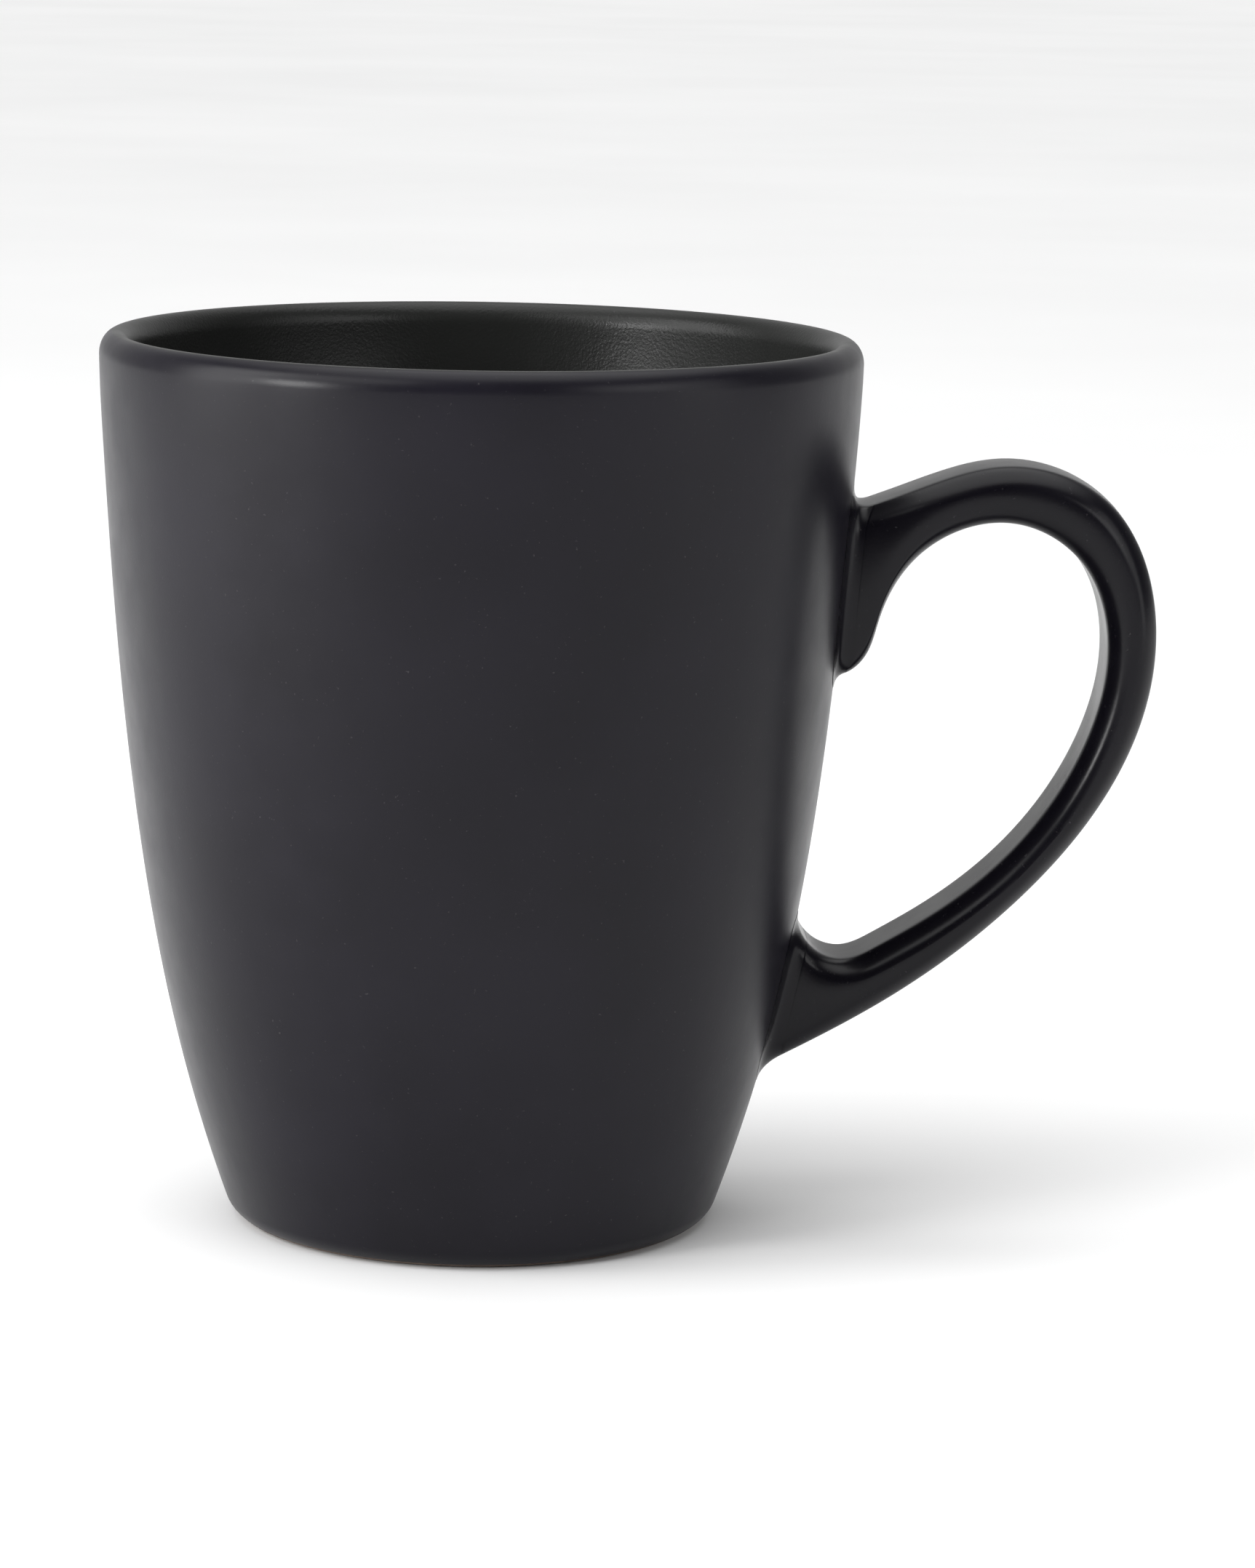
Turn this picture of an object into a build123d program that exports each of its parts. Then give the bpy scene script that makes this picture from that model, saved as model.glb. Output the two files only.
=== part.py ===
"""Stoneware mug, about 0.35 litre, with a cast strap handle on the +X side.

Units are millimetres.  +Z is up, the mug's axis is Z and the foot ring stands on
z = 0.  The clay cup, the clay handle, the two beads of slip that stick the handle
on, and the coats of glaze are separate solids that meet face to face.
"""
from build123d import *

import os

# ---- driving dimensions -------------------------------------------------------
mug_height = 103.8  # table to the top of the lip, glazed
rim_radius = 44.0  # widest point, just under the lip, glazed
lip_width = 3.8  # across the rounded lip
lip_drop = 2.55  # from the top of the lip to its widest point
lip_lean = 0.02  # how far out the wall still leans there, per mm of height
floor_level = 6.6  # inside floor above the table, at the axis
foot_radius = 25.85  # outer edge of the flat foot ring
foot_run = 3.22  # how far out the rounding above the foot ring reaches
foot_rise = 2.27  # and how high
foot_ring_width = 3.3
recess_depth = 2.2  # hollow under the floor, inside the foot ring
recess_slope = 1.2  # how far the recess wall leans in over that depth
glaze = 0.35  # thickness of every coat
bare_band = 0.5  # wiped clean of glaze above the table

handle_width = 13.0  # along Y, glazed
handle_edge_round = 2.3  # on the four long edges of the strap
bead_size = 1.3  # slip round each root, along the wall and up the strap

# ---- outlines, as (radius or x, height), on the glazed surface -------------------
lip_level = mug_height - lip_drop
wall_outside = [
    (foot_radius + foot_run, foot_rise),
    (33.95, 18.0),
    (39.14, 44.0),
    (41.94, 69.0),
    (43.44, 90.0),
    (rim_radius, lip_level),
]
wall_inside = [
    (rim_radius - lip_width, lip_level),
    (39.6, 92.0),
    (37.95, 70.0),
    (35.1, 45.0),
    (31.3, 26.5),
    (25.0, 12.8),
    (14.0, 7.3),
    (0.0, floor_level),
]
# The strap's two faces, each from the upper root round to the lower root.  Both
# start and end inside the wall, which trims them.
strap_outer_face = [
    (41.0, 83.7),
    (49.2, 86.7),
    (61.0, 89.95),
    (72.15, 86.3),
    (78.75, 69.6),
    (74.05, 52.3),
    (62.8, 38.0),
    (48.3, 26.6),
    (31.9, 17.6),
]
strap_inner_face = [
    (38.8, 65.3),
    (42.6, 65.5),
    (44.9, 67.6),
    (46.25, 71.5),
    (50.6, 79.2),
    (61.6, 83.2),
    (69.8, 78.6),
    (72.95, 69.5),
    (70.6, 57.2),
    (59.8, 42.0),
    (51.4, 35.7),
    (47.0, 33.1),
    (43.2, 31.6),
    (40.2, 32.4),
    (37.6, 35.4),
    (35.5, 38.6),
]


def beneath(points, skin):
    """The outline moved `skin` mm to the left of its own direction, point by point."""
    moved = []
    for i, point in enumerate(points):
        before = Vector(*points[max(i - 1, 0)])
        after = Vector(*points[min(i + 1, len(points) - 1)])
        along = (after - before).normalized()
        moved.append(Vector(*point) + Vector(-along.Y, along.X) * skin)
    return moved


# ---- cup ------------------------------------------------------------------------
def wall_curve(skin):
    """Draws the foot rounding and outside wall, `skin` mm under the glazed surface."""
    outside = beneath(wall_outside, skin)
    outside[-1] = Vector(rim_radius - skin, lip_level)
    foot_curve = TangentArc((foot_radius, 0), outside[0], tangent=(1, 0))
    Spline(outside, tangents=[foot_curve % 1, (lip_lean, 1)])


def cup(skin):
    """The cup with its walls, lip and floor `skin` mm under the glazed surface."""
    with BuildPart() as solid:
        with BuildSketch(Plane.XZ):
            with BuildLine():
                wall_curve(skin)
                lip_centre = (rim_radius - lip_width / 2, lip_level)
                half_lip = lip_width / 2 - skin
                EllipticalCenterArc(
                    lip_centre, lip_drop - skin, half_lip, -90, arc_size=180, rotation=90
                )
                inside = beneath(wall_inside, skin)
                inside[0] = Vector(rim_radius - lip_width + skin, lip_level)
                inside[-1] = Vector(0, floor_level - skin)
                Spline(inside, tangents=[(0, -1), (-1, 0)])
                ring_inside = foot_radius - foot_ring_width
                recess_top = recess_depth + glaze
                Polyline(
                    inside[-1],
                    (0, recess_top),
                    (ring_inside - recess_slope, recess_top),
                    (ring_inside, 0),
                    (foot_radius, 0),
                )
            make_face()
        revolve(axis=Axis.Z)
    return solid.part


with BuildPart() as mug_body:
    add(cup(glaze))

# A glazed disc fills the top of the hollow under the floor.
with BuildPart() as base_glaze:
    recess_radius = foot_radius - foot_ring_width - recess_slope
    with Locations((0, 0, recess_depth)):
        Cylinder(
            recess_radius, glaze, align=(Align.CENTER, Align.CENTER, Align.MIN)
        )


# ---- handle -----------------------------------------------------------------------
def strap(skin):
    """The strap from side to side, `skin` mm under its glazed surface."""
    half_width = handle_width / 2 - skin
    with BuildPart() as solid:
        with BuildSketch(Plane.XZ.offset(-half_width)):
            with BuildLine():
                outer = Spline(beneath(strap_outer_face, -skin))
                inner = Spline(beneath(strap_inner_face, skin))
                Line(outer @ 1, inner @ 1)
                Line(inner @ 0, outer @ 0)
            make_face()
        extrude(amount=2 * half_width)
        sides = edges().group_by(Axis.Y)
        long_edges = (sides[0] + sides[-1]).sort_by(SortBy.LENGTH)[-4:]
        fillet(long_edges, radius=handle_edge_round - skin)
    return solid.part


clay_strap = strap(glaze)
glazed_strap = strap(0)

with BuildPart() as handle:
    add(clay_strap)
    add(mug_body.part, mode=Mode.SUBTRACT)

# ---- slip beads ---------------------------------------------------------------------
# The collar of slip, with the glaze that pools over it, that runs round each root: the
# strap grown by the bead's size, as far as the wall grown by the same.
with BuildPart() as slip_beads:
    add(strap(-bead_size))
    with BuildSketch(Plane.XZ, mode=Mode.PRIVATE) as grown_section:
        with BuildLine():
            wall_curve(-bead_size)
            Polyline(
                (rim_radius + bead_size, lip_level),
                (0, lip_level),
                (0, 0),
                (foot_radius, 0),
            )
        make_face()
    revolve(grown_section.sketch, axis=Axis.Z, mode=Mode.INTERSECT)
    add(cup(0), mode=Mode.SUBTRACT)
    add(glazed_strap, mode=Mode.SUBTRACT)
    lower_bead, upper_bead = solids().sort_by(Axis.Z)

with BuildPart() as upper_slip_bead:
    add(upper_bead)

with BuildPart() as lower_slip_bead:
    add(lower_bead)

# ---- glaze on the cup and on the handle ------------------------------------------------
with BuildPart() as mug_glaze:
    add(cup(0))
    add(mug_body.part, mode=Mode.SUBTRACT)
    Cylinder(
        rim_radius,
        bare_band,
        align=(Align.CENTER, Align.CENTER, Align.MIN),
        mode=Mode.SUBTRACT,
    )
    add(glazed_strap, mode=Mode.SUBTRACT)

with BuildPart() as handle_glaze:
    add(glazed_strap)
    add(clay_strap, mode=Mode.SUBTRACT)
    add(cup(0), mode=Mode.SUBTRACT)

# ---- files ------------------------------------------------------------------------
mug_body.part.label = "mug_body"
handle.part.label = "handle"
upper_slip_bead.part.label = "upper_slip_bead"
lower_slip_bead.part.label = "lower_slip_bead"
mug_glaze.part.label = "mug_glaze"
base_glaze.part.label = "base_glaze"
handle_glaze.part.label = "handle_glaze"

os.makedirs("parts", exist_ok=True)
for piece in (
    mug_body,
    handle,
    upper_slip_bead,
    lower_slip_bead,
    mug_glaze,
    base_glaze,
    handle_glaze,
):
    export_step(piece.part, f"parts/{piece.part.label}.step")
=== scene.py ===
"""A stoneware mug in a matt charcoal glaze, on a pale floor in soft studio light.

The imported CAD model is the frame.  The cup is turned from its own half section, the
handle is a strap section carried along its path, and a bead of slip closes the corner
between them.  Sizes are in metres; outlines are given in millimetres times MM.
"""
from math import atan2, cos, pi, radians, sin

import bpy
import numpy as np
from mathutils import Matrix, Vector


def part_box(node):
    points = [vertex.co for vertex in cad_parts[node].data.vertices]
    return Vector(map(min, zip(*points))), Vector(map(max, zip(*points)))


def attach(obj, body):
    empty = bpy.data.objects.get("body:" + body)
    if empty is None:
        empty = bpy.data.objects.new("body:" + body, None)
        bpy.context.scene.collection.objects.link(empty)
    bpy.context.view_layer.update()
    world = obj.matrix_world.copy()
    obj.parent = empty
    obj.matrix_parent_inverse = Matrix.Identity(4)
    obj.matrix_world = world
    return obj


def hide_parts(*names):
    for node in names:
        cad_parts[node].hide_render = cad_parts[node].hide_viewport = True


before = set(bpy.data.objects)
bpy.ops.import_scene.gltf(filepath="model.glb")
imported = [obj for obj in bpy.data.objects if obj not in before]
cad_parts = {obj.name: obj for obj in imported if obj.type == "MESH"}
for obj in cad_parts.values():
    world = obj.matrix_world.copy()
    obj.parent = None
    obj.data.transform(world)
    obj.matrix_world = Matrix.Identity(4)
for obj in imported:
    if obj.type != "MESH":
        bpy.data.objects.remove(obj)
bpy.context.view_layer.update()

MM = 0.001

# ---- driving sizes, from the frame ---------------------------------------------------
RIM_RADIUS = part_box("mug_glaze")[1].x
MUG_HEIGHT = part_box("mug_glaze")[1].z
BARE_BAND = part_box("mug_glaze")[0].z
HANDLE_HALF_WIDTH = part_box("handle_glaze")[1].y
RECESS_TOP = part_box("base_glaze")[1].z
RECESS_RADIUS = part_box("base_glaze")[1].x

GLAZE = 0.35 * MM
LIP_WIDTH = 3.8 * MM
LIP_DROP = 2.55 * MM
LIP_LEVEL = MUG_HEIGHT - LIP_DROP
LIP_LEAN = (0.02, 1)  # way the wall is heading where the lip begins
FLOOR_LEVEL = 6.6 * MM
FOOT_RADIUS = 25.85 * MM
FOOT_ROUND = 3.42 * MM
FOOT_RING_WIDTH = 3.3 * MM

# Glazed half section, as radius and height: up the outside, and down the inside.
WALL_OUTSIDE = MM * np.array([
    (29.07, 2.27), (33.95, 18.0), (39.14, 44.0), (41.94, 69.0), (43.44, 90.0),
    (RIM_RADIUS / MM, LIP_LEVEL / MM),
])
WALL_INSIDE = MM * np.array([
    ((RIM_RADIUS - LIP_WIDTH) / MM, LIP_LEVEL / MM), (39.6, 92.0), (37.95, 70.0),
    (35.1, 45.0), (31.3, 26.5), (25.0, 12.8), (14.0, 7.3), (0.0, FLOOR_LEVEL / MM),
])

# The strap's two faces, each from the upper root round to the lower root, as x and height.
STRAP_OUTER = MM * np.array([
    (41.0, 83.7), (49.2, 86.7), (61.0, 89.95), (72.15, 86.3), (78.75, 69.6),
    (74.05, 52.3), (62.8, 38.0), (48.3, 26.6), (31.9, 17.6),
])
STRAP_INNER = MM * np.array([
    (38.8, 65.3), (42.6, 65.5), (44.9, 67.6), (46.25, 71.5), (50.6, 79.2), (61.6, 83.2),
    (69.8, 78.6), (72.95, 69.5), (70.6, 57.2), (59.8, 42.0), (51.4, 35.7), (47.0, 33.1),
    (43.2, 31.6), (40.2, 32.4), (37.6, 35.4), (35.5, 38.6),
])
# Places straight across from each other, as shares of the outer face and of the inner one.
ACROSS_STRAP = np.array([
    (0, 0), (0.035, 0.062), (0.055, 0.097), (0.08, 0.15), (0.105, 0.21), (0.14, 0.268),
    (0.24, 0.338), (0.40, 0.456), (0.60, 0.638), (0.80, 0.83), (0.825, 0.867),
    (0.868, 0.904), (0.91, 0.931), (0.95, 0.966), (1, 1),
])
STRAP_EDGE_ROUND = 2.5 * MM
STRAP_CROWN = 0.3 * MM
SIDE_CROWN = 0.9 * MM
END_CLOSE = 1.2 * MM  # how far each hidden end of the strap draws in

# For each root: the bead's name, the stretch of the strap's path where it crosses the
# wall, and how far the slip reaches up the strap and along the wall.  Each reach is
# given at the outer face, at the sides and at the inner face.
ROOTS = (
    ("upper_root_bead", (0.0, 0.2), MM * np.array([(2.4, 1.8, 1.2), (3.2, 2.0, 1.4)])),
    ("lower_root_bead", (1.0, 0.8), MM * np.array([(2.0, 1.8, 1.6), (1.8, 2.2, 1.6)])),
)
BEAD_SINK = 0.02 * MM  # the bead's edge, under the wall it runs out on
BEAD_RIM_SINK = 0.5 * MM  # the hidden side of the bead: straight under that edge,
BEAD_CORE_SINK = 0.6 * MM  # and under the corner of strap and wall,
BEAD_CORE_DRAW = 0.8 * MM  # drawn in this far towards the middle of the root

FOOT_EDGE_ROUND = 0.4 * MM
WALL_SWELL = 0.12 * MM  # how unevenly the cup came out of its mould
CLAY_DEPTH = 1.1 * GLAZE  # the clay keeps clear of the coat's own back
SHARP_EDGE = radians(50)

# ---- how finely things are cut -------------------------------------------------------
AROUND = 240  # columns round the cup
WALL_ROWS = 110
LIP_ROWS = 28
FOOT_ROWS = 24
STRAP_ROWS = 260
BEAD_ROWS = 14
ROUND_POINTS = 9  # in each rounded corner of the strap's section
STRAIGHT_POINTS = 10  # on each straight between them
FINE = np.linspace(0, 1, 2001)  # shares of a finely cut curve
HALVINGS = 40

# The clay is cut more coarsely where the glaze hides it.
HIDDEN_STEP = 4
HIDDEN_LIP_ROWS = 12
COAT_BACK_STEP = 3
CLAY_FOOT_ROWS = 40
CEILING_ROWS = 10
CEILING_FROM, CEILING_TO = 0.15, 0.98  # shares of the hollow's radius
HOLLOW_ROWS = 6
RING_ROWS = 8

# ---- finishes, in linear colour ------------------------------------------------------
CHARCOAL_DEEP = (0.0055, 0.0049, 0.0080, 1)
CHARCOAL_PALE = (0.0078, 0.0070, 0.0112, 1)
# painted light: the inside is painted about twice as pale as the outside glaze, standing in
# for the brighter light inside, and more neutral
CHARCOAL_INSIDE_PAINTED_LIGHT = (0.0150, 0.0155, 0.0148, 1)
FLECK = (0.035, 0.033, 0.036, 1)
GLAZE_IOR = 1.28
CUP_ROUGHNESS = 0.33
HANDLE_ROUGHNESS = 0.25
# painted shade: the handle's glaze is painted at this share of the cup glaze's brightness, a
# darker copy of the same glaze
HANDLE_PAINTED_SHADE = 0.6
HAZE_DRIFT = 0.03  # of the roughness, to either side
RIPPLE_DEPTH = 0.02 * MM
PEEL_DEPTH = 0.035 * MM
PEEL_OUTSIDE = 0.15  # share of that depth away from the inside

CLAY_DARK = (0.075, 0.052, 0.040, 1)
CLAY_PALE = (0.125, 0.090, 0.070, 1)
CLAY_ROUGHNESS = 0.85
TOOTH_DEPTH = 0.12 * MM

# Noises, as features per metre and layers of detail.
RIPPLE = (160.0, 2.0)
PEEL = (3000.0, 2.0)
TOOTH = (1800.0, 4.0)
# The same, and the part of the noise's range that is stretched to the whole.
CLOUDS = (45.0, 3.0, 0.35, 0.65)
HAZE = (180.0, 3.0, 0.3, 0.7)
FLECKS = (2600.0, 2.0, 0.70, 0.78)
GRIT = (900.0, 4.0, 0.35, 0.7)
PAPER_CLOUDS = (3.0, 3.0, 0.3, 0.7)

# ---- studio, in metres and watts -----------------------------------------------------
FLOOR_REACH = 6.0
PAPER_DARK, PAPER_PALE = 0.86, 0.90
PAPER_ROUGHNESS = 0.9
PAPER_SHINE = 0.1

CAMERA_PLACE = (0.0, -0.600, 0.1604)
CAMERA_PAN, CAMERA_TILT, CAMERA_ROLL = 0.02945, 0.17979, 0.01866
CAMERA_LENS = 119.56
CAMERA_SENSOR = 36.0

WORLD_FRONT = 0.04  # light from the walls in front,
WORLD_BACK = 0.8  # from those behind,
BACK_FULL = 0.9  # reached this far round,
WORLD_TOP = 3.3  # and more from the ceiling,
CEILING_EDGE, CEILING_FULL = 0.70, 0.95  # between these heights of the sky

# Name, place, the height on the mug's axis that it faces, width and height, and power.
SOFTBOXES = (
    ("left_softbox", (-0.93, -0.12, 0.34), 0.06, (0.45, 0.9), 6.5),
    ("high_softbox", (-0.60, -0.50, 0.68), 0.07, (0.8, 0.35), 2.8),
    ("left_strip", (-0.83, -0.55, 0.27), 0.09, (0.24, 0.26), 5.5),
    ("right_strip", (0.70, -0.70, 0.40), 0.09, (0.40, 0.40), 1.6),
    ("right_softbox", (0.93, -0.40, 0.35), 0.05, (0.4, 0.8), 1.6),
)


# ---- curves --------------------------------------------------------------------------
def smooth_through(points, count, start=None, end=None):
    """A curve through points with even bend: one cubic per span, as long as its chord.

    The slopes at the points solve the equations that make the bend the same on both
    sides of each.  A slope given for an end is kept, and an end without one is straight
    there.
    """
    chords = np.linalg.norm(np.diff(points, axis=0), axis=1)
    knots = np.r_[0, np.cumsum(chords)]
    span = np.diff(knots)
    rise = np.diff(points, axis=0) / span[:, None]
    n = len(points)
    left = np.zeros((n, n))
    right = np.zeros_like(points)
    inner = np.arange(1, n - 1)
    left[inner, inner - 1] = span[1:]
    left[inner, inner] = 2 * (span[:-1] + span[1:])
    left[inner, inner + 1] = span[:-1]
    right[1:-1] = 3 * (span[1:, None] * rise[:-1] + span[:-1, None] * rise[1:])
    left[0, 0], left[-1, -1] = 1, 1
    if start is None:
        left[0, :2], right[0] = (2, 1), 3 * rise[0]
    else:
        right[0] = np.array(start) / np.linalg.norm(start)
    if end is None:
        left[-1, -2:], right[-1] = (1, 2), 3 * rise[-1]
    else:
        right[-1] = np.array(end) / np.linalg.norm(end)
    slope = np.linalg.solve(left, right)
    at = np.linspace(knots[0], knots[-1], count)
    i = np.clip(np.searchsorted(knots, at, side="right") - 1, 0, n - 2)
    h = span[i][:, None]
    s = ((at - knots[i]) / span[i])[:, None]
    return (
        (1 + 2 * s) * (1 - s) ** 2 * points[i]
        + s * (1 - s) ** 2 * h * slope[i]
        + s**2 * (3 - 2 * s) * points[i + 1]
        + s**2 * (s - 1) * h * slope[i + 1]
    )


def under(curve, depth):
    """A curve moved depth to the left of its own direction, square to it."""
    along = np.gradient(curve, axis=0)
    along /= np.linalg.norm(along, axis=1)[:, None]
    return curve + depth * np.c_[-along[:, 1], along[:, 0]]


# ---- meshes --------------------------------------------------------------------------
def skin(name, grid, ring=False, tips=(None, None)):
    """A mesh object from a grid of points, rows by columns.

    The columns always close on themselves.  ring joins the last row to the first, and
    each tip is a point that closes its end of the grid with a fan of triangles.  If the
    volume inside comes out negative, every face is turned over.
    """
    rows, columns = grid.shape[:2]
    points = grid.reshape(-1, 3)
    index = np.arange(rows * columns).reshape(rows, columns)
    near = index if ring else index[:-1]
    far = np.roll(index, -1, axis=0) if ring else index[1:]
    quads = np.stack([near, np.roll(near, -1, 1), np.roll(far, -1, 1), far], axis=-1)
    quads = quads.reshape(-1, 4)
    fans = []
    for tip, row, way in ((tips[0], index[0], -1), (tips[1], index[-1], 1)):
        if tip is not None:
            hub = np.full(columns, len(points))
            points = np.vstack([points, tip])
            fans.append(np.stack([hub, row, np.roll(row, -1)][::way], axis=-1))
    fans = np.vstack(fans) if fans else np.zeros((0, 3), int)
    corners = [quads[:, [0, 1, 2]], quads[:, [0, 2, 3]], fans]
    a, b, c = (points[np.vstack(corners)[:, k]] for k in range(3))
    if np.einsum("ij,ij->", a, np.cross(b, c)) < 0:
        quads, fans = quads[:, ::-1], fans[:, ::-1]
    mesh = bpy.data.meshes.new(name)
    mesh.from_pydata(points.tolist(), [], quads.tolist() + fans.tolist())
    mesh.shade_smooth()
    mesh.set_sharp_from_angle(angle=SHARP_EDGE)
    mesh.validate()
    piece = bpy.data.objects.new(name, mesh)
    bpy.context.scene.collection.objects.link(piece)
    return piece


def turned(profile, wobble=0.0):
    """Points of a half section swept round Z: radius times cosine and sine, and height.

    wobble is the depth of the soft swell that a wet wall keeps from the mould: two waves
    round the cup and three half as deep, turning as they climb.  Together they stay
    within 1.5, so the swell becomes a share from 0 to 1, always taken inwards.
    """
    angle = np.linspace(0, 2 * pi, AROUND, endpoint=False)
    radius = profile[:, :1]
    height = profile[:, 1:]
    share = height / MUG_HEIGHT
    swell = np.sin(2 * angle + 5 * share) + 0.5 * np.sin(3 * angle - 9 * share + 1.7)
    away = np.clip(radius / RIM_RADIUS, 0, 1)
    radius = radius - wobble * away * (swell + 1.5) / 3
    return np.stack(
        [radius * np.cos(angle), radius * np.sin(angle), height + 0 * angle], axis=-1
    )


# ---- cup -----------------------------------------------------------------------------
def foot_arc(steps):
    """Quarter round above the foot ring, from the table up to where the wall begins."""
    last = atan2(WALL_OUTSIDE[0, 1] - FOOT_ROUND, WALL_OUTSIDE[0, 0] - FOOT_RADIUS)
    angle = np.linspace(-pi / 2, last, steps)
    across = FOOT_RADIUS + FOOT_ROUND * np.cos(angle)
    return np.c_[across, FOOT_ROUND + FOOT_ROUND * np.sin(angle)]


def lip_arc(steps):
    """Half an ellipse over the lip, from the outside round to the inside."""
    angle = np.linspace(0, pi, steps)
    across = RIM_RADIUS - LIP_WIDTH / 2 + LIP_WIDTH / 2 * np.cos(angle)
    return np.c_[across, LIP_LEVEL + LIP_DROP * np.sin(angle)]


foot_slope = (FOOT_ROUND - WALL_OUTSIDE[0, 1], WALL_OUTSIDE[0, 0] - FOOT_RADIUS)
outside = smooth_through(WALL_OUTSIDE, WALL_ROWS, start=foot_slope, end=LIP_LEAN)
inside = smooth_through(WALL_INSIDE, WALL_ROWS, start=(0, -1), end=(-1, 0))


def wall_radius(height):
    """Radius of the glazed wall at a height."""
    return np.interp(height, outside[:, 1], outside[:, 0])


def make_cup_coat():
    """The glaze outside, over the lip and inside: a thin closed skin, turned.

    From the middle of the floor the section runs up the inside, over the lip and down to
    the wiped band, then back along the clay, one glaze thickness under.
    """
    foot = foot_arc(FOOT_ROWS)
    foot = foot[foot[:, 1] > BARE_BAND]
    shown = np.vstack([foot[:-1], outside[:-1], lip_arc(LIP_ROWS)[:-1], inside[:-1]])
    backed = under(shown, GLAZE)
    backed = np.vstack([backed[:1], backed[2:-1:COAT_BACK_STEP], backed[-1:]])
    rows = np.vstack([shown[::-1], backed])
    tips = [(0, 0, FLOOR_LEVEL), (0, 0, FLOOR_LEVEL - GLAZE)]
    coat = skin("cup_glaze_coat", turned(rows, WALL_SWELL), tips=tips)
    # inner_side marks the inside rows, where the glaze is painted paler as painted light and
    # gets a full orange-peel grain
    inner_rows = np.arange(len(rows)) < len(inside) + LIP_ROWS // 2
    share = np.r_[np.repeat(inner_rows, AROUND), True, True].astype(np.float32)
    coat.data.attributes.new("inner_side", "FLOAT", "POINT").data.foreach_set("value", share)
    return coat


def make_clay_cup():
    """The fired clay: hollow under the floor, foot ring, wiped band, then the whole wall.

    Above the wiped band it runs just under the glaze.  The foot ring's two edges are
    rounded as a sponge leaves them.
    """
    ring_in = FOOT_RADIUS - FOOT_RING_WIDTH
    soft = FOOT_EDGE_ROUND
    turn = np.linspace(0, pi / 2, RING_ROWS)
    across = np.linspace(CEILING_FROM, CEILING_TO, CEILING_ROWS) * RECESS_RADIUS
    ceiling = np.c_[across, np.full(CEILING_ROWS, RECESS_TOP)]
    corner = np.c_[ring_in + soft - soft * np.cos(turn), soft - soft * np.sin(turn)]
    hollow = np.linspace((RECESS_RADIUS, RECESS_TOP), corner[0], HOLLOW_ROWS)[:-1]
    flat = np.linspace(corner[-1], (FOOT_RADIUS, 0), RING_ROWS)[1:-1]
    foot = foot_arc(CLAY_FOOT_ROWS)
    wiped = foot[foot[:, 1] <= BARE_BAND]
    buried = np.vstack([
        foot[foot[:, 1] > BARE_BAND], outside[::HIDDEN_STEP],
        lip_arc(HIDDEN_LIP_ROWS)[1:-1], inside[:-1:HIDDEN_STEP],
    ])
    half = np.vstack([ceiling, hollow, corner, flat, wiped, under(buried, CLAY_DEPTH)])
    tips = [(0, 0, RECESS_TOP), (0, 0, FLOOR_LEVEL - CLAY_DEPTH)]
    return skin("clay_cup", turned(half), tips=tips)


# ---- handle --------------------------------------------------------------------------
def strap_section():
    """Unit section of the strap, by column: where on its flat core, and which way out.

    The section is a rectangle grown by a round: four quarter turns joined by straights.
    """
    quarter = np.linspace(0, pi / 2, ROUND_POINTS)
    run = np.linspace(1, -1, STRAIGHT_POINTS + 2)[1:-1]
    still = np.ones(STRAIGHT_POINTS)
    corners = [(1, 1), (-1, 1), (-1, -1), (1, -1)]
    deep, wide, out = [], [], []
    for k, (x, y) in enumerate(corners):
        deep += [np.full(ROUND_POINTS, x), run * x if k % 2 == 0 else still * x]
        wide += [np.full(ROUND_POINTS, y), still * y if k % 2 == 0 else run * y]
        out += [k * pi / 2 + quarter, still * (k + 1) * pi / 2]
    return np.hstack(deep), np.hstack(wide), np.hstack(out)


CORE_DEEP, CORE_WIDE, OUTWARD = strap_section()
COLUMNS = len(OUTWARD)
strap_outer = smooth_through(STRAP_OUTER, len(FINE))
strap_inner = smooth_through(STRAP_INNER, len(FINE))
strap_across = smooth_through(ACROSS_STRAP, len(FINE))


def at_share(curve, share):
    """The points of a finely cut curve at shares of its length."""
    return np.stack([np.interp(share, FINE, column) for column in curve.T], axis=-1)


def strap(u):
    """Points of the strap, for path places u by column.

    At each place the section lies across the line from the inner face to the outer one,
    and half that line is its half depth.  The outer face and both sides are crowned by
    a parabola.
    """
    shares = at_share(strap_across, u)
    outer = at_share(strap_outer, shares[..., 0])
    inner = at_share(strap_inner, shares[..., 1])
    middle = (outer + inner) / 2
    half = (outer - inner) / 2
    depth = np.linalg.norm(half, axis=-1)
    core = depth - STRAP_EDGE_ROUND
    x = CORE_DEEP * core + STRAP_EDGE_ROUND * np.cos(OUTWARD)
    y = CORE_WIDE * (HANDLE_HALF_WIDTH - STRAP_EDGE_ROUND)
    y = y + STRAP_EDGE_ROUND * np.sin(OUTWARD)
    middle_out = (x / depth) ** 2
    edge = (y / HANDLE_HALF_WIDTH) ** 2
    x = x - STRAP_CROWN * edge * np.clip(np.cos(OUTWARD), 0, 1)
    y = y - SIDE_CROWN * middle_out * np.sin(OUTWARD)
    place = middle + half / depth[..., None] * x[..., None]
    return np.stack([place[..., 0], y + 0 * x, place[..., 1]], axis=-1)


def off_wall(points):
    """How far points stand off the glazed wall, measured level."""
    return np.hypot(points[..., 0], points[..., 1]) - wall_radius(points[..., 2])


def place_off_wall(distance, low, high):
    """The path place, by column, where the strap is that far off the wall: by halving."""
    low = np.full(COLUMNS, low)
    high = np.full(COLUMNS, high)
    for _ in range(HALVINGS):
        middle = (low + high) / 2
        beyond = off_wall(strap(middle)) > distance
        high = np.where(beyond, middle, high)
        low = np.where(beyond, low, middle)
    return (low + high) / 2


def unit(vectors):
    """Vectors scaled to length one."""
    return vectors / np.linalg.norm(vectors, axis=-1, keepdims=True)


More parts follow.
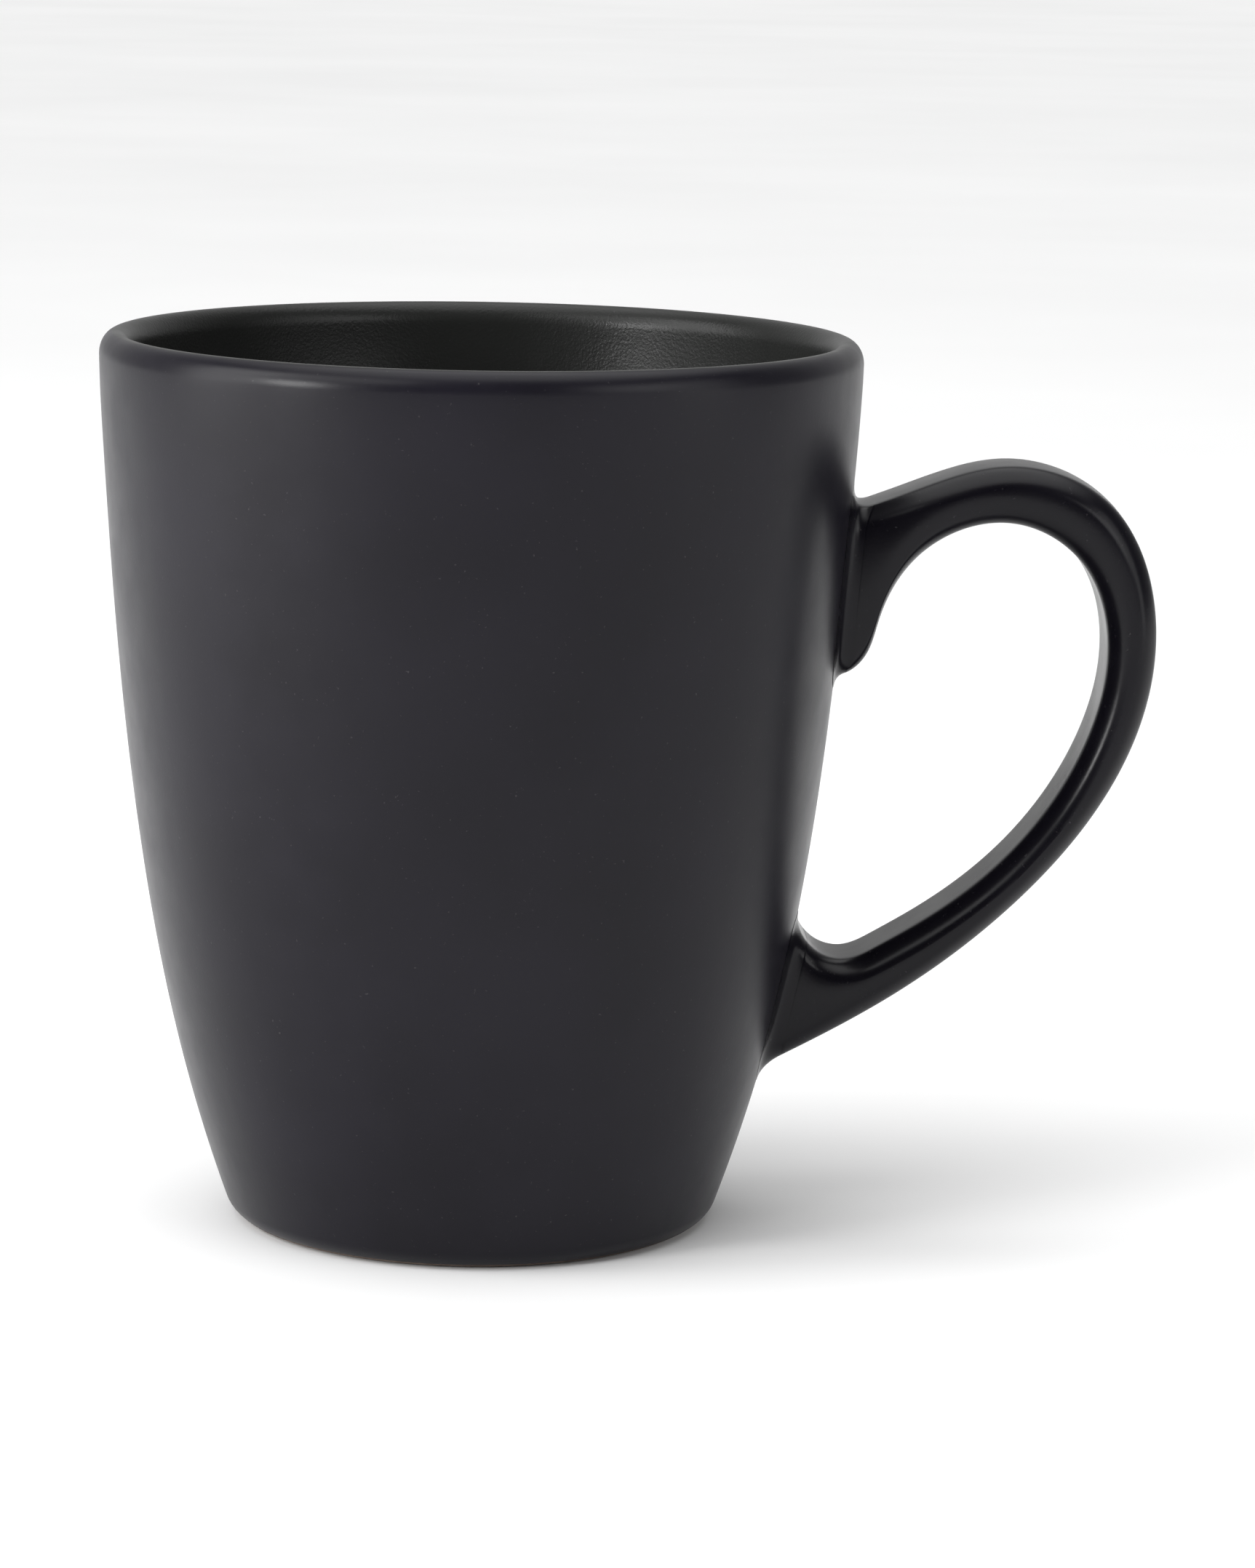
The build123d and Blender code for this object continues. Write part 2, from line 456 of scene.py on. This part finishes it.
def onto_wall(points, sink=0.0):
    """Points moved level onto the glazed wall, or sink under it."""
    reach = (wall_radius(points[:, 2]) - sink) / np.hypot(points[:, 0], points[:, 1])
    return points * np.c_[reach, reach, np.ones(len(points))]


def by_side(outer, beside, inner):
    """A value for every column: outer, beside or inner as the column faces, and blends."""
    facing = np.cos(OUTWARD)
    return beside + np.where(facing > 0, outer - beside, inner - beside) * facing**2


def make_bead(name, root, stretch, up_strap, along_wall):
    """The slip round one root, and the ring where the strap comes out of it.

    Each column is a parabola: it leaves the strap along the strap, heads for the corner
    where strap and wall would cross, and runs out along the wall.
    """
    corner = strap(root)
    start_place = place_off_wall(up_strap, *stretch)
    start = strap(start_place)
    round_root = np.roll(corner, -1, axis=0) - np.roll(corner, 1, axis=0)
    level = np.c_[corner[:, :2], np.zeros(COLUMNS)]
    away = unit(np.cross(round_root, unit(level)))
    if np.einsum("ij,ij->", away, corner - corner.mean(axis=0)) < 0:
        away = -away
    finish = onto_wall(corner + away * along_wall[:, None], BEAD_SINK)
    t = np.linspace(0, 1, BEAD_ROWS)[:, None, None]
    arc = (1 - t) ** 2 * start + 2 * t * (1 - t) * corner + t**2 * finish
    core = corner.mean(axis=0)
    deep = onto_wall(corner + unit(core - corner) * BEAD_CORE_DRAW, BEAD_CORE_SINK)
    rim = onto_wall(finish, BEAD_RIM_SINK)
    bead = skin(name, np.concatenate([arc, rim[None], deep[None]]), ring=True)
    return bead, start_place


def make_handle():
    """The strap between its two beads, then the upper bead and the lower one."""
    beads, starts, ends, tips = [], [], [], []
    for name, stretch, (up_strap, along_wall) in ROOTS:
        root = place_off_wall(0.0, *stretch)
        bead, start = make_bead(
            name, root, stretch, by_side(*up_strap), by_side(*along_wall)
        )
        ring = strap(root)
        core = ring.mean(axis=0)
        beads.append(bead)
        starts.append(start)
        ends.append((ring + unit(core - ring) * END_CLOSE)[None])
        tips.append(core)
    first, last = starts
    share = np.linspace(0, 1, STRAP_ROWS)[:, None]
    rows = strap(first + share * (last - first))
    coat = skin("handle_coat", np.concatenate([ends[0], rows, ends[1]]), tips=tips)
    return coat, *beads


# ---- surface finishes ----------------------------------------------------------------
def wire(material, maker, **sockets):
    """A node of the given kind in the material, with socket values or links by name."""
    node = material.node_tree.nodes.new(maker)
    for key, value in sockets.items():
        socket = node.inputs[key.replace("_", " ")]
        if isinstance(value, bpy.types.NodeSocket):
            material.node_tree.links.new(value, socket)
        else:
            socket.default_value = value
    return node


def new_finish(name):
    """An empty node material with its shader, its output and its object coordinates."""
    material = bpy.data.materials.new(name)
    material.use_nodes = True
    tree = material.node_tree
    tree.nodes.clear()
    shader = tree.nodes.new("ShaderNodeBsdfPrincipled")
    output = tree.nodes.new("ShaderNodeOutputMaterial")
    tree.links.new(shader.outputs[0], output.inputs[0])
    place = tree.nodes.new("ShaderNodeTexCoord").outputs["Object"]
    return material, shader, place


def noise(material, place, scale, detail, rough=0.55):
    """Cloud noise, as features per metre and layers of detail; rough weighs the fine ones."""
    node = wire(
        material, "ShaderNodeTexNoise",
        Vector=place, Scale=scale, Detail=detail, Roughness=rough,
    )
    return node.outputs[0]


def remap(material, value, low, high, to_low, to_high):
    """A value stretched from one range to another, and held at its ends."""
    node = wire(
        material, "ShaderNodeMapRange",
        Value=value, From_Min=low, From_Max=high, To_Min=to_low, To_Max=to_high,
    )
    return node.outputs[0]


def patches(material, place, pattern, to_low=0.0, to_high=1.0):
    """Cloud noise with the middle of its range stretched between two values."""
    scale, detail, low, high = pattern
    cloud = noise(material, place, scale, detail)
    return remap(material, cloud, low, high, to_low, to_high)


def blend_colour(material, share, first, second):
    """Two colours mixed by a share from 0 to 1."""
    node = material.node_tree.nodes.new("ShaderNodeMix")
    node.data_type = "RGBA"
    for socket, value in ((0, share), (6, first), (7, second)):
        if isinstance(value, bpy.types.NodeSocket):
            material.node_tree.links.new(value, node.inputs[socket])
        else:
            node.inputs[socket].default_value = value
    return node.outputs[2]


def shade(colour, share):
    """A colour made darker or paler by a share."""
    return tuple(channel * share for channel in colour[:3]) + (1,)


def bumps(material, shader, layers):
    """Height layers, each a value and a depth in metres, one bump on the next."""
    below = {}
    for value, depth in layers:
        node = wire(
            material, "ShaderNodeBump", Height=value, Distance=depth, Strength=1.0, **below
        )
        below = {"Normal": node.outputs[0]}
    material.node_tree.links.new(node.outputs[0], shader.inputs["Normal"])


def charcoal_glaze(name, roughness, darkness=1.0):
    """Matt charcoal glaze: near black with a violet cast, cloudy and all but smooth.

    darkness is a share of the usual brightness; below one it is painted shade.  Where the
    inner_side attribute is set, the glaze is painted paler, as painted light for the brighter
    inside, is more neutral, and has a full orange-peel grain.
    """
    material, shader, place = new_finish(name)
    tree = material.node_tree
    mask = tree.nodes.new("ShaderNodeAttribute")
    mask.attribute_name = "inner_side"
    inner = mask.outputs["Fac"]
    colour = blend_colour(
        material, patches(material, place, CLOUDS),
        shade(CHARCOAL_DEEP, darkness), shade(CHARCOAL_PALE, darkness),
    )
    # painted light: where inner_side is set, the colour turns to the paler inside colour
    colour = blend_colour(material, inner, colour, CHARCOAL_INSIDE_PAINTED_LIGHT)
    colour = blend_colour(material, patches(material, place, FLECKS), colour, FLECK)
    tree.links.new(colour, shader.inputs["Base Color"])
    smooth, rough = roughness - HAZE_DRIFT, roughness + HAZE_DRIFT
    haze = patches(material, place, HAZE, smooth, rough)
    tree.links.new(haze, shader.inputs["Roughness"])
    shader.inputs["IOR"].default_value = GLAZE_IOR
    peel = tree.nodes.new("ShaderNodeMath")
    peel.operation = "MULTIPLY"
    tree.links.new(noise(material, place, *PEEL), peel.inputs[0])
    tree.links.new(remap(material, inner, 0, 1, PEEL_OUTSIDE, 1.0), peel.inputs[1])
    ripple = noise(material, place, *RIPPLE)
    bumps(material, shader, [(ripple, RIPPLE_DEPTH), (peel.outputs[0], PEEL_DEPTH)])
    return material


def bare_clay():
    """Fired brown stoneware, dry and gritty."""
    material, shader, place = new_finish("bare_stoneware")
    grit = patches(material, place, GRIT)
    colour = blend_colour(material, grit, CLAY_DARK, CLAY_PALE)
    material.node_tree.links.new(colour, shader.inputs["Base Color"])
    shader.inputs["Roughness"].default_value = CLAY_ROUGHNESS
    bumps(material, shader, [(noise(material, place, *TOOTH), TOOTH_DEPTH)])
    return material


# ---- build ---------------------------------------------------------------------------
outer_glaze = charcoal_glaze("charcoal_glaze_cup", CUP_ROUGHNESS)
# painted shade: the handle's copy of the glaze is painted darker than the cup's
handle_glaze = charcoal_glaze("charcoal_glaze_handle", HANDLE_ROUGHNESS, HANDLE_PAINTED_SHADE)
stoneware = bare_clay()

cup_coat = make_cup_coat()
clay_cup = make_clay_cup()
handle_coat, upper_bead, lower_bead = make_handle()
base_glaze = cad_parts["base_glaze"]

for piece, finish, slot, stands_for in (
    (cup_coat, outer_glaze, "charcoal_glaze", ["mug_glaze"]),
    (clay_cup, stoneware, "stoneware", ["mug_body"]),
    (handle_coat, handle_glaze, "charcoal_glaze", ["handle_glaze", "handle"]),
    (upper_bead, handle_glaze, "charcoal_glaze", ["upper_slip_bead"]),
    (lower_bead, handle_glaze, "charcoal_glaze", ["lower_slip_bead"]),
):
    piece.data.materials.append(finish)
    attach(piece, "root")
    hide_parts(*stands_for)
base_glaze.material_slots[0].material = outer_glaze


# ---- floor, lights and camera --------------------------------------------------------
def make_floor():
    """A pale sheet under the mug: flat, and wide enough to fill every view."""
    half = FLOOR_REACH
    mesh = bpy.data.meshes.new("pale_floor")
    corners = [(-half, -half, 0), (half, -half, 0), (half, half, 0), (-half, half, 0)]
    mesh.from_pydata(corners, [], [(0, 1, 2, 3)])
    floor = bpy.data.objects.new("pale_floor", mesh)
    bpy.context.scene.collection.objects.link(floor)
    material, shader, place = new_finish("pale_paper")
    tone = patches(material, place, PAPER_CLOUDS, PAPER_DARK, PAPER_PALE)
    grey = wire(material, "ShaderNodeCombineColor", Red=tone, Green=tone, Blue=tone)
    material.node_tree.links.new(grey.outputs[0], shader.inputs["Base Color"])
    shader.inputs["Roughness"].default_value = PAPER_ROUGHNESS
    shader.inputs["Specular IOR Level"].default_value = PAPER_SHINE
    mesh.materials.append(material)


def softbox(name, place, aim_height, size, power):
    """A rectangular area light at a place, turned to face a height on the mug's axis."""
    light = bpy.data.lights.new(name, "AREA")
    light.shape = "RECTANGLE"
    light.size, light.size_y = size
    light.energy = power
    lamp = bpy.data.objects.new(name, light)
    lamp.location = place
    way = Vector((0, 0, aim_height)) - Vector(place)
    lamp.rotation_euler = way.to_track_quat("-Z", "Y").to_euler()
    bpy.context.scene.collection.objects.link(lamp)


def grade(tree, value, low, high, to_low, to_high):
    """A soft step of a value from one level to another."""
    step = tree.nodes.new("ShaderNodeMapRange")
    step.interpolation_type = "SMOOTHSTEP"
    tree.links.new(value, step.inputs["Value"])
    step.inputs["From Min"].default_value = low
    step.inputs["From Max"].default_value = high
    step.inputs["To Min"].default_value = to_low
    step.inputs["To Max"].default_value = to_high
    return step.outputs[0]


def make_surroundings():
    """Studio walls and ceiling as light: bright behind, dim in front, brightest overhead.

    The camera itself sees plain white.
    """
    world = bpy.data.worlds.new("soft_studio")
    world.use_nodes = True
    tree = world.node_tree
    tree.nodes.clear()
    background = tree.nodes.new("ShaderNodeBackground")
    output = tree.nodes.new("ShaderNodeOutputWorld")
    direction = tree.nodes.new("ShaderNodeTexCoord").outputs["Generated"]
    split = tree.nodes.new("ShaderNodeSeparateXYZ")
    tree.links.new(direction, split.inputs[0])
    walls = grade(tree, split.outputs["Y"], 0.0, BACK_FULL, WORLD_FRONT, WORLD_BACK)
    ceiling = grade(tree, split.outputs["Z"], CEILING_EDGE, CEILING_FULL, 0.0, WORLD_TOP)
    both = tree.nodes.new("ShaderNodeMath")
    both.operation = "ADD"
    tree.links.new(walls, both.inputs[0])
    tree.links.new(ceiling, both.inputs[1])
    sight = tree.nodes.new("ShaderNodeLightPath").outputs["Is Camera Ray"]
    pick = tree.nodes.new("ShaderNodeMix")
    tree.links.new(sight, pick.inputs["Factor"])
    tree.links.new(both.outputs[0], pick.inputs["A"])
    pick.inputs["B"].default_value = 1.0
    tree.links.new(pick.outputs["Result"], background.inputs["Strength"])
    tree.links.new(background.outputs[0], output.inputs[0])
    bpy.context.scene.world = world


def make_camera():
    """The viewpoint: a long lens at arm's length, a little above the lip.

    Pan turns it off the mug's axis, tilt looks down, and roll leans it.
    """
    pan, tilt, roll = CAMERA_PAN, CAMERA_TILT, CAMERA_ROLL
    ahead = Vector((sin(pan) * cos(tilt), cos(pan) * cos(tilt), -sin(tilt)))
    level = Vector((cos(pan), -sin(pan), 0))
    up = level.cross(ahead)
    right = cos(roll) * level + sin(roll) * up
    top = cos(roll) * up - sin(roll) * level
    data = bpy.data.cameras.new("viewpoint")
    data.sensor_fit = "AUTO"
    data.sensor_width = CAMERA_SENSOR
    data.lens = CAMERA_LENS
    camera = bpy.data.objects.new("viewpoint", data)
    turn = Matrix((right, top, -ahead)).transposed().to_4x4()
    camera.matrix_world = Matrix.Translation(CAMERA_PLACE) @ turn
    bpy.context.scene.collection.objects.link(camera)
    bpy.context.scene.camera = camera


make_camera()
make_floor()
make_surroundings()
for row in SOFTBOXES:
    softbox(*row)
bpy.context.scene.view_settings.view_transform = "Standard"
